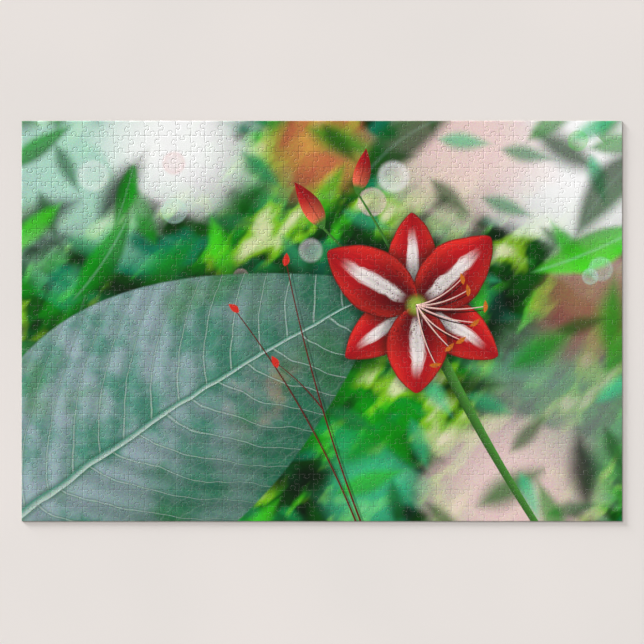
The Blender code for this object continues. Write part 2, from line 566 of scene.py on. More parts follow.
def node_group(wire, vectors, numbers):
    """A node group. wire gets its wiring and what goes in, and gives back what comes out."""
    tree = bpy.data.node_groups.new(wire.__name__, "ShaderNodeTree")
    for kind, names in (("Vector", ("Place", *vectors)), ("Float", numbers)):
        for socket in names:
            tree.interface.new_socket(socket, in_out="INPUT", socket_type="NodeSocket" + kind)
    given = tree.nodes.new("NodeGroupInput").outputs
    wires = Wiring(tree, given["Place"])
    made = wire(wires, given)
    for socket in made:
        kind = "Color" if socket == "Colour" else "Float"
        tree.interface.new_socket(socket, in_out="OUTPUT", socket_type="NodeSocket" + kind)
    wires.fill(tree.nodes.new("NodeGroupOutput").inputs, made)
    return tree


def ink(red, green, blue):
    """A colour as a screen shows it, from 0 to 255, in the linear values that nodes want."""
    linear = []
    for share in (red / 255, green / 255, blue / 255):
        linear.append(share / 12.92 if share <= 0.04045 else ((share + 0.055) / 1.055) ** 2.4)
    return (*linear, 1.0)


# %% [markdown]
# Shapes that the picture is made of
# A close photograph of plants is mostly leaves, one or two sharp and the rest out of focus, and
# round lights where the sky shines through. A leaf is as wide as one minus the square of the way
# along it, and a light is a disc. The softness of the step at their edges puts them in or out of
# focus, so one group makes both the near leaf and the far ones.

# %% Groups for a leaf, a disc of light and a thin stalk
LEAF_TAPER = 0.28
LEAF_LEAST = 0.1
STALK_TAPER = 0.25


def leaf_width(wires, along):
    """How full a leaf is from -1 at its foot to 1 at its tip, and half its width there."""
    fullness = wires.maths("SUBTRACT", 1.0, wires.times(along, along))
    taper = wires.maths("MAXIMUM", wires.line(along, -LEAF_TAPER, 1.0), LEAF_LEAST)
    return fullness, wires.times(fullness, taper)


def leaf_shape(wires, given):
    """A leaf's mask, with the way along it and across it from -1 to 1."""
    along, across = wires.seat(given)
    fullness, width = leaf_width(wires, along)
    bent = wires.line(fullness, given["Bend"], across)
    return {"Mask": wires.band(width, bent, given["Softness"]), "Along": along, "Across": bent}


def light_disc(wires, given):
    """A disc's mask. Softness is the share of the radius over which it fades."""
    gap = wires.vector_maths("DISTANCE", wires.spot, given["Centre"])
    share = wires.maths("DIVIDE", gap, given["Radius"])
    near, far = (wires.line(given["Softness"], way, 1.0) for way in (-1.0, 1.0))
    return {"Mask": wires.step(share, far, near), "Share": share}


def stalk(wires, given):
    """A thin curved stalk that starts at Centre and runs Forward, thinner towards its end."""
    along, y = wires.seat(given)
    off = wires.maths("SUBTRACT", y, wires.times(along, along, given["Bend"]))
    half = wires.times(given["Thickness"], wires.line(along, -STALK_TAPER, 0.5))
    ends = wires.stretch(along, -0.01, 0.01, 0.98, 1.01)
    mask = wires.times(wires.band(half, off, given["Softness"]), ends)
    return {"Mask": mask, "Across": wires.maths("DIVIDE", off, given["Thickness"])}


LEAF_SHAPE = node_group(leaf_shape, SEAT, ("Bend", "Softness"))
LIGHT_DISC = node_group(light_disc, ("Centre",), ("Radius", "Softness"))
STALK = node_group(stalk, SEAT, ("Bend", "Thickness", "Softness"))

# %% [markdown]
# A scatter of leaves
# The mass of small leaves can't be placed one by one. A Voronoi pattern gives a point in each cell
# of a loose grid, with chance values that pick the leaf's turn, whether it is there at all, and
# its tint. Three such layers, each turned another way, hide the grid.

# %% A group for a scatter of leaves
SCATTER_LOOSENESS = 0.5
SCATTER_TURN = 1.2
SCATTER_OUTER = -0.4


def leaf_scatter(wires, given):
    """One blurred leaf in some of the cells. Tint is a chance value for each leaf."""
    grid = {"Vector": wires.spot, "Scale": 1.0, "Randomness": SCATTER_LOOSENESS}
    cells = wires.node("TexVoronoi", named=grid, voronoi_dimensions="2D").outputs
    spin, drawn, tint = wires.node("SeparateColor", cells["Color"]).outputs[:3]
    here = wires.vector_maths("SUBTRACT", wires.spot, cells["Position"])
    turn = {"Vector": here, "Angle": wires.line(spin, 2 * SCATTER_TURN, -SCATTER_TURN)}
    turned = wires.node("VectorRotate", named=turn, rotation_type="Z_AXIS").outputs["Vector"]
    along = wires.maths("DIVIDE", wires.along(turned, (1.0, 0.0, 0.0)), given["Length"])
    across = wires.maths("DIVIDE", wires.along(turned, (0.0, 1.0, 0.0)), given["Width"])
    _, width = leaf_width(wires, along)
    there = wires.maths("LESS_THAN", drawn, given["Share"])
    mask = wires.times(wires.band(width, across, given["Softness"], SCATTER_OUTER), there)
    return {"Mask": mask, "Tint": tint, "Across": across}


LEAF_SCATTER = node_group(leaf_scatter, (), ("Share", "Length", "Width", "Softness"))

# %% [markdown]
# The out-of-focus foliage
# What lies far out of focus melts into patches of colour. Stretched noise gives smears that run
# the way the leaves hang. Wide soft discs, broken up by the same noise, are set where the sky and
# the pink haze shine through. Then come the scattered leaves, the farther the softer.

# %% Colours of the foliage
NIGHT_GREEN = ink(0, 20, 4)
DEEP_GREEN = ink(0, 84, 0)
LEAF_GREEN = ink(0, 146, 6)
MID_GREEN = ink(12, 158, 80)
FRESH_GREEN = ink(66, 216, 24)
MINT = ink(66, 206, 146)
PALE_MINT = ink(186, 228, 214)
SKY_WHITE = ink(254, 254, 255)
ROSE_WHITE = ink(242, 210, 208)
HAZE_GREY = ink(140, 158, 148)
PEACH = ink(240, 120, 84)
EARTH_ROSE = ink(168, 92, 88)
LIME = ink(150, 208, 30)
CREAM = ink(232, 230, 190)
SEA_GREEN = ink(4, 138, 104)

# %% The smears and the veils over them
SMEARS = {
    # turn, stretch, scale, shift
    "slow": (0.7, 1.7, 9.0, 1.3),
    "fine": (-0.5, 2.4, 21.0, 4.1),
    "close": (0.9, 2.6, 40.0, 2.7),
    "hue": (0.2, 1.5, 14.0, 6.7),
}
SMEAR_ROUGHNESS = 0.45
CLOSE_IN_LIT = 0.6
TINTS = (
    # smear, value where the tint begins, value where it is full, strength, tint
    ("slow", 0.34, 0.50, 1.00, DEEP_GREEN),
    ("slow", 0.46, 0.60, 1.00, LEAF_GREEN),
    ("fine", 0.50, 0.66, 0.75, MID_GREEN),
    ("fine", 0.46, 0.30, 0.60, NIGHT_GREEN),
    ("close", 0.52, 0.66, 0.60, FRESH_GREEN),
    ("close", 0.46, 0.32, 0.75, NIGHT_GREEN),
    ("hue", 0.44, 0.34, 0.65, SEA_GREEN),
    ("lit", 0.83, 0.95, 0.70, LIME),
    ("lit", 0.92, 1.06, 0.75, CREAM),
)
VEILS = (
    # centre, radius, tint, strength
    ((0.335, 0.210), 0.135, SKY_WHITE, 1.00),
    ((0.175, 0.225), 0.100, ROSE_WHITE, 0.90),
    ((-0.330, 0.200), 0.115, PALE_MINT, 0.85),
    ((-0.185, 0.225), 0.090, SKY_WHITE, 0.95),
    ((0.305, -0.110), 0.110, HAZE_GREY, 0.60),
    ((0.345, 0.030), 0.075, EARTH_ROSE, 0.75),
    ((0.235, -0.220), 0.100, ROSE_WHITE, 0.90),
    ((0.000, 0.225), 0.065, PEACH, 0.65),
    ((0.060, -0.215), 0.060, MINT, 0.70),
)
VEIL_SOFTNESS = 0.75
VEIL_BREAKS = (("fine", 1.6), ("close", 0.7))
VEIL_EDGE = (0.12, 0.62)


def foliage(wires, colour):
    """The blurred background, from the darkest layer up."""
    smears = {}
    for name, (turn, stretch, scale, shift) in SMEARS.items():
        seen = wires.seen_from(shift, shift, turn, (stretch, 1.0, 1.0))
        smears[name] = wires.noise(scale, 2.0, SMEAR_ROUGHNESS, seen)
    smears["lit"] = wires.line(smears["close"], CLOSE_IN_LIT, smears["hue"])
    for name, begins, full, strength, tint in TINTS:
        colour = wires.lay(colour, tint, smears[name], begins, full, strength)
    for centre, radius, tint, strength in VEILS:
        veil = wires.place(LIGHT_DISC, Centre=(*centre, 0.0), Radius=radius, Softness=VEIL_SOFTNESS)["Mask"]
        broken = veil
        for name, reach in VEIL_BREAKS:
            broken = wires.line(wires.maths("SUBTRACT", smears[name], 0.5), reach, broken)
        colour = wires.lay(colour, tint, broken, *VEIL_EDGE, wires.times(veil, strength))
    return colour


# %% Three layers of scattered leaves
SCATTERS = (
    # turn, cell, share, length, width, softness, dark, light, strength
    (0.5, 0.120, 0.85, 0.46, 0.19, 0.90, NIGHT_GREEN, LEAF_GREEN, 0.85),
    (-0.4, 0.078, 0.75, 0.46, 0.17, 0.85, DEEP_GREEN, MINT, 0.75),
    (1.1, 0.105, 0.50, 0.46, 0.15, 0.65, LEAF_GREEN, FRESH_GREEN, 0.75),
)
SCATTER_SHIFT = (0.31, 0.17)


def scattered_leaves(wires, colour):
    shift_x, shift_y = SCATTER_SHIFT
    for number, (turn, cell, share, length, width, softness, dark, light, strength) in enumerate(SCATTERS):
        seen = wires.seen_from(shift_x * number, shift_y, turn, (cell, cell, cell))
        sizes = {"Place": seen, "Share": share, "Length": length, "Width": width, "Softness": softness}
        leaf = wires.place(LEAF_SCATTER, **sizes)
        tint = wires.lay(dark, light, leaf["Tint"], 0.25, 0.85)
        tint = wires.shade(tint, leaf["Across"], 0.25, 0.90)
        colour = wires.mix(wires.times(leaf["Mask"], strength), colour, tint)
    return colour


# %% Larger blurred leaves, placed by chance
LARGE_LEAVES = 11
LARGE_LEAF_SEED = 21
LARGE_LEAF_LENGTH = (0.040, 0.075)
LARGE_LEAF_SLIMNESS = (0.24, 0.40)
LARGE_LEAF_SOFTNESS = (0.50, 0.14)
LARGE_LEAF_STRENGTH = 0.85
LARGE_LEAF_TINTS = (DEEP_GREEN, LEAF_GREEN, FRESH_GREEN, MINT, MID_GREEN, LEAF_GREEN)
ACROSS_THE_SHEET = (-0.37, 0.37)


def large_leaves(wires, colour):
    """Leaves nearer to the focus, the softest first."""
    dice = random.Random(LARGE_LEAF_SEED)
    softest, sharpest = LARGE_LEAF_SOFTNESS
    for number in range(LARGE_LEAVES):
        share = number / (LARGE_LEAVES - 1)
        length = dice.uniform(*LARGE_LEAF_LENGTH)
        turn = dice.uniform(-0.3, 1.4) + math.pi * dice.randrange(2)
        centre = (dice.uniform(*ACROSS_THE_SHEET), dice.uniform(-0.06, 0.24))
        bend = dice.uniform(-0.5, 0.5)
        width = length * dice.uniform(*LARGE_LEAF_SLIMNESS)
        softness = softest + (sharpest - softest) * share
        leaf = wires.shape(LEAF_SHAPE, centre, turn, length, width, Bend=bend, Softness=softness)
        shaded = wires.shade(dice.choice(LARGE_LEAF_TINTS), leaf["Across"], 0.42, 0.85)
        off_rib = wires.maths("ABSOLUTE", leaf["Across"])
        shaded = wires.lay(shaded, PALE_MINT, off_rib, 0.16, 0.0, 0.30 * share)
        colour = wires.mix(wires.times(leaf["Mask"], LARGE_LEAF_STRENGTH), colour, shaded)
    return colour


# %% Round lights, placed by chance
ROUND_LIGHTS = 15
LIGHT_SEED = 5
LIGHT_RADIUS = (0.008, 0.022)
LIGHT_SOFTNESS = (0.10, 0.22)
LIGHT_STRENGTH = (0.25, 0.60)
LIGHT_TINTS = (SKY_WHITE, PALE_MINT, ROSE_WHITE, FRESH_GREEN)


def round_lights(wires, colour):
    """Blurred lights, each a disc with a brighter rim, as a lens draws them."""
    dice = random.Random(LIGHT_SEED)
    for _ in range(ROUND_LIGHTS):
        centre = (dice.uniform(*ACROSS_THE_SHEET), dice.uniform(0.02, 0.24), 0.0)
        radius, softness = dice.uniform(*LIGHT_RADIUS), dice.uniform(*LIGHT_SOFTNESS)
        disc = wires.place(LIGHT_DISC, Centre=centre, Radius=radius, Softness=softness)
        rim = wires.line(wires.step(disc["Share"], 0.35, 1.0), 0.4, 0.6)
        tint = dice.choice(LIGHT_TINTS)
        colour = wires.mix(wires.times(disc["Mask"], rim, dice.uniform(*LIGHT_STRENGTH)), colour, tint)
    return colour


# %% [markdown]
# The near leaf
# One broad leaf lies across the lower left, grey-green with a bloom on it and sharp enough to show
# its veins. The side veins leave the pale midrib at a slant and bend towards the tip, and
# crossbars and a fine net fill the fields between. All the side veins are one pattern of stripes,
# and the same pattern, taken as a wave, shades the fields as shallow quilting.

# %% The near leaf's own colour
LEAF_CENTRE = (-0.190, -0.135)
LEAF_POSE = (math.radians(33), 0.34, 0.165)
LEAF_BEND = -0.12
LEAF_SHADE = (-0.186, -0.123)
BLOOM_GREY = ink(148, 172, 178)
LEAF_TEAL = ink(72, 140, 120)
LEAF_DEEP = ink(0, 96, 56)
LEAF_OLIVE = ink(58, 138, 62)
VEIN_PALE = ink(186, 208, 200)
VEIN_DARK = ink(34, 92, 66)
BLIGHT = ink(170, 130, 92)
BLIGHT_CENTRE = (-0.075, -0.090, 0.0)


def leaf_body(wires, along, across):
    """The leaf's own colour before any vein."""
    patches = wires.noise(11.0, 4.0, 0.6)
    body = wires.lay(LEAF_TEAL, BLOOM_GREY, patches, 0.38, 0.60)
    body = wires.lay(body, LEAF_OLIVE, wires.noise(6.5, 3.0, 0.6), 0.50, 0.66, 0.75)
    body = wires.lay(body, LEAF_DEEP, along, -0.05, 0.90, 0.75)
    body = wires.lay(body, LEAF_DEEP, across, -0.05, -0.80, 0.60)
    body = wires.shade(body, wires.step(across, -0.25, 0.25), 0.14, 0.88)
    spots = wires.place(LIGHT_DISC, Centre=BLIGHT_CENTRE, Radius=0.045, Softness=0.6)
    return wires.lay(body, BLIGHT, patches, 0.46, 0.62, wires.times(spots["Mask"], 0.55))


# %% The near leaf's veins
SIDE_VEINS = 8.5
VEIN_WIDTHS = (0.11, 0.03, 0.045, 0.012)


def vein_phase(wires, along, across, side):
    """A value that is whole on each side vein. The veins of one half start between the other's."""
    slant = wires.times(side, wires.line(side, 0.26, 0.24))
    other_half = wires.times(wires.maths("GREATER_THAN", across, 0.0), 0.45)
    return wires.line(wires.maths("SUBTRACT", along, slant), SIDE_VEINS, other_half)


def near_leaf(wires, colour):
    wobble = wires.sway(16.0)
    leaf = wires.shape(LEAF_SHAPE, LEAF_CENTRE, *LEAF_POSE, Bend=LEAF_BEND, Softness=0.010)
    along = leaf["Along"]
    across = wires.line(wobble, 0.05, leaf["Across"])
    side = wires.maths("ABSOLUTE", across)
    phase = wires.line(wobble, 0.55, vein_phase(wires, along, across, side))
    body = leaf_body(wires, along, across)
    body = wires.shade(body, wires.maths("SINE", wires.times(phase, 2 * math.pi)), 0.13, 0.96)

    net = wires.node("TexVoronoi", feature="DISTANCE_TO_EDGE", named={"Vector": wires.spot, "Scale": 120.0})
    bars = wires.maths("PINGPONG", wires.line(wobble, 3.0, wires.times(side, 8.0)), 0.5)
    vein = wires.maths("PINGPONG", phase, 0.5)
    reach = wires.line(side, -0.55, 1.0)
    rib_share = wires.maths("DIVIDE", across, wires.line(along, -0.012, 0.018))
    off_rib = wires.maths("ABSOLUTE", rib_share)
    rib = wires.lay(VEIN_PALE, LEAF_TEAL, rib_share, -1.0, 1.0)
    dark_off, dark_on, pale_off, pale_on = (wires.times(reach, share) for share in VEIN_WIDTHS)
    veins = (
        # tint, distance, where the tint begins, where it is full, strength
        (VEIN_PALE, net.outputs["Distance"], 0.12, 0.0, 0.05),
        (VEIN_PALE, bars, 0.07, 0.0, 0.09),
        (VEIN_DARK, vein, dark_off, dark_on, 0.40),
        (VEIN_PALE, vein, pale_off, pale_on, wires.line(side, -0.25, 0.55)),
        (VEIN_DARK, off_rib, 2.6, 1.0, 0.55),
        (rib, off_rib, 1.15, 0.85, 1.0),
    )
    for tint, *values in veins:
        body = wires.lay(body, tint, *values)

    cast = wires.shape(LEAF_SHAPE, LEAF_SHADE, *LEAF_POSE, Bend=LEAF_BEND, Softness=0.13)
    colour = wires.mix(wires.times(cast["Mask"], 0.75), colour, NIGHT_GREEN)
    return wires.mix(leaf["Mask"], colour, body)


# %% [markdown]
# The blossom
# Three petals lie in front and three behind, crimson with a white bar along the middle. Each is a
# copy of one group with its own turn, length and bend. The group gives it a ridge, a lit half and
# a shaded half, veins that run its length and dark freckles towards the throat, and each petal
# throws a soft shadow on those below.

# %% A group for one petal
CRIMSON = ink(176, 18, 26)
SCARLET = ink(214, 46, 34)
DARK_CRIMSON = ink(92, 6, 14)
BROWN_EDGE = ink(52, 14, 14)
PETAL_WHITE = ink(238, 230, 228)


def petal(wires, given):
    """A petal that starts at Centre and runs Forward. Light tells which half is lit."""
    along, y = wires.seat(given)
    ruffle = wires.sway(26.0)
    across = wires.line(ruffle, 0.16, wires.line(wires.times(along, along), given["Bend"], y))
    held = wires.maths("MINIMUM", wires.maths("MAXIMUM", along, 0.0), 1.0)
    arch = wires.maths("SINE", wires.times(wires.maths("POWER", held, 0.85), math.pi))
    width = wires.maths("POWER", wires.maths("MAXIMUM", arch, 0.0), 0.72)
    inside = wires.maths("SUBTRACT", width, wires.maths("ABSOLUTE", across))
    share = wires.maths("DIVIDE", across, wires.maths("MAXIMUM", width, 0.05))
    part = wires.maths("ABSOLUTE", share)

    stripes = {"W": wires.line(ruffle, 0.6, share), "Scale": 9.0, "Detail": 3.0, "Roughness": 0.6}
    streaks = wires.node("TexNoise", named=stripes, noise_dimensions="1D").outputs["Fac"]
    dots = wires.node("TexVoronoi", named={"Vector": wires.spot, "Scale": 260.0}).outputs["Distance"]
    colour = wires.lay(DARK_CRIMSON, CRIMSON, along, 0.10, 0.75)
    colour = wires.lay(colour, SCARLET, part, 0.35, 0.95, 0.55)
    colour = wires.shade(colour, streaks, 0.9, 0.58)
    edge = wires.line(streaks, 0.50, 0.02)
    bar = wires.times(wires.stretch(along, 0.10, 0.26, 0.58, 0.86), 0.95)
    colour = wires.lay(colour, PETAL_WHITE, part, edge, wires.times(edge, 0.45), bar)
    throat = wires.times(wires.step(along, 0.55, 0.25), 0.7)
    colour = wires.lay(colour, DARK_CRIMSON, dots, 0.34, 0.20, throat)

    lit = wires.line(wires.times(share, given["Light"]), 0.34, 0.90)
    lit = wires.line(wires.step(part, 0.10, 0.0), -0.16, lit)
    lit = wires.line(wires.stretch(along, 0.40, 0.66, 0.70, 1.0), 0.20, lit)
    colour = wires.shade(colour, lit)
    colour = wires.lay(colour, BROWN_EDGE, inside, 0.075, 0.0, 0.75)
    within = wires.stretch(along, 0.0, 0.02, 0.99, 1.0)
    near = wires.stretch(along, -0.15, 0.10, 0.94, 1.16)
    mask = wires.times(wires.step(inside, -0.012, 0.012), within)
    return {"Mask": mask, "Shadow": wires.times(wires.step(inside, -0.36, 0.06), near), "Colour": colour}


PETAL = node_group(petal, SEAT, ("Bend", "Light"))

# %% The blossom
BLOSSOM_CENTRE = (0.120, 0.020)
PETALS = (
    # turn in degrees, length, half width, bend
    (96, 0.118, 0.033, 0.20),
    (214, 0.112, 0.031, -0.15),
    (332, 0.122, 0.034, 0.25),
    (38, 0.128, 0.040, -0.22),
    (152, 0.132, 0.041, 0.18),
    (272, 0.112, 0.040, 0.10),
)
LIGHT_FROM = math.radians(125)
THROAT_GREEN = ink(150, 176, 64)
THROAT = {"Centre": (*BLOSSOM_CENTRE, 0.0), "Radius": 0.010, "Softness": 0.7}


def blossom(wires, colour):
    for turn, length, half_width, bend in PETALS:
        angle = math.radians(turn)
        light = math.sin(LIGHT_FROM - angle)
        drawn = wires.shape(PETAL, BLOSSOM_CENTRE, angle, length, half_width, Bend=bend, Light=light)
        colour = wires.mix(wires.times(drawn["Shadow"], 0.60), colour, NIGHT_GREEN)
        colour = wires.mix(drawn["Mask"], colour, drawn["Colour"])
    return wires.mix(wires.place(LIGHT_DISC, **THROAT)["Mask"], colour, THROAT_GREEN)


# %% Its stem and its buds
STEM_GREEN = ink(62, 122, 44)
STEM = ((0.300, -0.300), 0.030, 0.0150)
BUDS = (
    # centre, turn in degrees, half length, half width, bend of the stalk, its thickness
    ((-0.016, 0.146), 122, 0.036, 0.0125, -0.020, 0.0058),
    ((0.050, 0.190), 78, 0.030, 0.0105, 0.015, 0.0050),
)
STALK_SOFTNESS = 0.0005


def thin_lines(wires, colour, stalks, tint):
    """Stalks of one tint, joined in one mask before they are laid on the picture."""
    mask, light = 0.0, 1.0
    for foot, tip, bend, thickness in stalks:
        reach = Vector(tip) - Vector(foot)
        length = math.sqrt(reach.length_squared - bend * bend)
        turn = math.atan2(reach.y, reach.x) - math.atan2(bend, length)
        look = {"Bend": bend, "Thickness": thickness, "Softness": STALK_SOFTNESS}
        drawn = wires.shape(STALK, foot, turn, length, 1.0, **look)
        mask = wires.maths("MAXIMUM", mask, drawn["Mask"])
        light = wires.line(drawn["Mask"], wires.times(drawn["Across"], 1.2), light)
    return wires.mix(mask, colour, wires.shade(tint, light))


def stem_and_buds(wires, colour):
    """The main stem, and from it a thin stalk to each bud."""
    stalks = [(BLOSSOM_CENTRE, *STEM)]
    for centre, turn, length, _, bend, thickness in BUDS:
        heading = Vector((math.cos(math.radians(turn)), math.sin(math.radians(turn))))
        stalks.append((BLOSSOM_CENTRE, Vector(centre) - heading * length * 0.9, bend, thickness))
    colour = thin_lines(wires, colour, stalks, STEM_GREEN)
    for centre, turn, length, width, _, _ in BUDS:
        bud = wires.shape(LEAF_SHAPE, centre, math.radians(turn), length, width, Bend=0.15, Softness=0.05)
        shaded = wires.lay(PEACH, CRIMSON, bud["Along"], -0.9, 0.5)
        shaded = wires.shade(shaded, bud["Across"], 0.45, 0.85)
        shaded = wires.lay(shaded, DARK_CRIMSON, wires.maths("ABSOLUTE", bud["Across"]), 0.10, 0.02, 0.5)
        shaded = wires.lay(shaded, STEM_GREEN, bud["Along"], -0.45, -0.75)
        colour = wires.mix(bud["Mask"], colour, shaded)
    return colour


# %% Threads with their anthers
THREADS = 7
THREAD_SEED = 3
THREAD_FAN = (-70, 17)
THREAD_THICKNESS = (0.0022, 0.0026)
FOOT_SHADE = Vector((0.002, -0.003))
TIP_SHADE = Vector((0.003, -0.004))
ANTHER_SIZE = (0.0080, 0.0028)
THREAD_ROSE = ink(238, 196, 186)
POLLEN = ink(206, 110, 30)


def dots(wires, colour, places, tint, **look):
    """Small leaf shapes of one tint, joined in one mask before they are laid on the picture."""
    mask = 0.0
    for place in places:
        mask = wires.maths("MAXIMUM", mask, wires.shape(LEAF_SHAPE, *place, **look)["Mask"])
    return wires.mix(mask, colour, tint)


def threads(wires, colour):
    """Pale threads that fan out from the throat, each with an anther across its end."""
    dice = random.Random(THREAD_SEED)
    foot = Vector(BLOSSOM_CENTRE)
    first_turn, next_turn = THREAD_FAN
    thin, thick = THREAD_THICKNESS
    pale, dark, anthers = [], [], []
    for number in range(THREADS):
        turn = math.radians(first_turn + number * next_turn + dice.uniform(-4, 4))
        length = dice.uniform(0.066, 0.090)
        bend = dice.uniform(0.010, 0.026)
        tip = foot + Vector((math.cos(turn), math.sin(turn))) * length
        pale.append((foot, tip, bend, thin))
        dark.append((foot + FOOT_SHADE, tip + TIP_SHADE, bend, thick))
        anthers.append((tip, turn + dice.uniform(0.8, 1.8), *ANTHER_SIZE))
    colour = thin_lines(wires, colour, dark, BROWN_EDGE)
    colour = thin_lines(wires, colour, pale, THREAD_ROSE)
    grains = wires.shade(POLLEN, wires.noise(420.0, 1.0, 0.5), 0.9, 0.5)
    return dots(wires, colour, anthers, grains, Bend=0.3, Softness=0.25)


# %% Thin shoots
SHOOTS = (
    # foot, tip, bend, thickness
    ((0.052, -0.262), (-0.046, 0.078), -0.030, 0.0026),
    ((0.046, -0.262), (-0.112, 0.016), 0.045, 0.0024),
    ((0.001, -0.112), (-0.060, -0.052), 0.014, 0.0018),
)
SHOOT_SHADE = Vector((0.006, -0.008))
SHOOT_BUD_TURN = math.radians(105)
SHOOT_BUD_LEAN = 14
SHOOT_BUD_SIZE = (0.0085, 0.0042)
SHOOT_RED = ink(96, 22, 20)


def shoots(wires, colour):
    """Thin red shoots in front of the leaf, with the shadow they throw and a bud on each."""
    shade = [(Vector(foot) + SHOOT_SHADE, Vector(tip) + SHOOT_SHADE, *rest) for foot, tip, *rest in SHOOTS]
    dark = thin_lines(wires, colour, shade, NIGHT_GREEN)
    colour = thin_lines(wires, wires.mix(0.45, colour, dark), SHOOTS, SHOOT_RED)
    buds = [(tip, SHOOT_BUD_TURN + bend * SHOOT_BUD_LEAN, *SHOOT_BUD_SIZE) for _, tip, bend, _ in SHOOTS]
    return dots(wires, colour, buds, SCARLET, Bend=0.2, Softness=0.2)


# %% [markdown]
# The whole picture
# The layers go on from the farthest to the nearest. Last comes what a printing press adds: a fine
# grain, which differs a little in each ink and keeps smooth areas from looking like plastic.

# %% The whole picture
GRAIN_SCALE = 620.0
GRAIN_STRENGTH = 0.55
PRESS_DARKENING = 0.97
FAR_LAYERS = (foliage, scattered_leaves, large_leaves, round_lights)
NEAR_LAYERS = (near_leaf, shoots, stem_and_buds, blossom, threads)


def picture(wires):
    colour = NIGHT_GREEN
    for layer in FAR_LAYERS + NEAR_LAYERS:
        colour = layer(wires, colour)
    grain = wires.noise(GRAIN_SCALE, 2.0, 0.7, output="Color")
    return wires.shade(wires.mix(GRAIN_STRENGTH, colour, grain, way="OVERLAY"), PRESS_DARKENING)


# %% [markdown]
# Paper, board and their wear
# The three finishes are all paper of a kind. Their fibres are one group, a fine noise that shifts
# colour and surface a little. Wear is where the die and many hands have rubbed the paper down to
# its white core: it lies low on the rim, broken up by noise. The mesh says with an attribute how
# far down the rim a place is, so a piece that sits a hair lower is worn no more than the next.

# %% Groups for fibres and worn rims
UP = (0.0, 0.0, 1.0)


def paper_fibres(wires, given):
    """A mask around one half, drawn out along one direction, and sparse flecks."""
    drawn = wires.vector_maths("MULTIPLY", wires.spot, given["Stretch"])
    flecks = wires.noise(wires.times(given["Scale"], 0.45), 1.0, 0.5)
    return {"Mask": wires.noise(given["Scale"], 3.0, 0.6, drawn), "Fleck": wires.step(flecks, 0.66, 0.74)}


def worn_rim(wires, given):
    """Where a rim is rubbed: from Start down to the cut, with a broken upper edge."""
    patches = wires.maths("SUBTRACT", wires.noise(260.0, 2.0, 0.6), 0.5)
    low = wires.step(wires.line(patches, given["Unevenness"], given["Down"]), given["Start"], 1.0)
    return {"Mask": wires.times(low, wires.step(given["Down"], 0.0, 0.25))}


FIBRES = node_group(paper_fibres, ("Stretch",), ("Scale",))
WORN_RIM = node_group(worn_rim, (), ("Down", "Start", "Unevenness"))


def new_material(wire):
    """A material. wire gets its wiring, read at the spot on the object, and fills its shader."""
    material = bpy.data.materials.new(wire.__name__)
    material.use_nodes = True
    wires = Wiring(material.node_tree)
    wires.spot = wires.node("TexCoord").outputs["Object"]
    wires.fill(material.node_tree.nodes["Principled BSDF"].inputs, wire(wires))
    return material


# %% [markdown]
# The printed face
# The paper is printed, varnished and only then glued to the board, so it has two layers of gloss:
# the ink itself is half matt, and the varnish over it is a thin clear coat, which gives the rims a
# faint glint. The fibres of the paper show through it as a very fine unevenness.

# %% The printed face
PAPER_WHITE = ink(238, 236, 230)
WEAR_START = 0.55
WEAR_UNEVENNESS = 0.9
WEAR_STRENGTH = 0.05


def printed_face(wires):
    """The picture, worn at the rims, under a half-gloss varnish."""
    colour = picture(Wiring(wires.tree, wires.vector_maths("MULTIPLY", wires.spot, (1.0, 1.0, 0.0))))
    down = wires.node("Attribute", attribute_name="down_the_rim").outputs["Fac"]
    wear = wires.place(WORN_RIM, Down=down, Start=WEAR_START, Unevenness=WEAR_UNEVENNESS)["Mask"]
    fibre = wires.place(FIBRES, Scale=900.0, Stretch=(0.5, 1.0, 0.5))["Mask"]
    colour = wires.mix(wires.times(wear, WEAR_STRENGTH), colour, PAPER_WHITE)
    rough = wires.line(wires.noise(40.0, 4.0, 0.6), 0.22, 0.34)
    return {
        "Base Color": wires.shade(colour, fibre, 0.16, 0.92),
        "Roughness": wires.line(wear, 0.3, rough),
        "Specular IOR Level": 0.2,
        "Coat Weight": wires.line(wear, -0.20, 0.35),
        "Coat Roughness": 0.25,
        "Normal": wires.bump(fibre, 0.10, 0.0001),
    }


# %% [markdown]
# The cut board
# The sides show a line of white paper at the top, then grey pulp that the rule has crushed. The
# pulp lies in thin layers, so its noise is stretched flat, and it is too rough to shine.

# %% The cut side of the board
PULP_GREY = ink(150, 144, 134)
PULP_DARK = ink(104, 98, 90)
PAPER_LINE = BOARD_THICKNESS - 0.00042


def cut_board(wires):
    layers = wires.noise(420.0, 3.0, 0.6, wires.vector_maths("MULTIPLY", wires.spot, (1.0, 1.0, 7.0)))
    fibre = wires.place(FIBRES, Scale=1400.0, Stretch=(0.3, 1.0, 0.3))
    colour = wires.lay(PULP_GREY, PULP_DARK, layers, 0.35, 0.65)
    colour = wires.mix(wires.times(fibre["Fleck"], 0.5), colour, PAPER_WHITE)
    height = wires.along(wires.spot, UP)
    colour = wires.lay(colour, PAPER_WHITE, height, PAPER_LINE - 0.00006, PAPER_LINE + 0.00002)
    rough = wires.line(fibre["Mask"], 0.15, 0.80)
    return {"Base Color": colour, "Roughness": rough, "Normal": wires.bump(layers, 0.5, 0.0002)}


# %% [markdown]
# The backing paper
# The underside is plain recycled paper: a pale grey with a mottle from its felt and darker flecks
# of fibre.

# %% The backing paper
BACK_PALE = ink(196, 196, 190)
BACK_DULL = ink(170, 171, 167)
BACK_FLECK = ink(122, 120, 116)


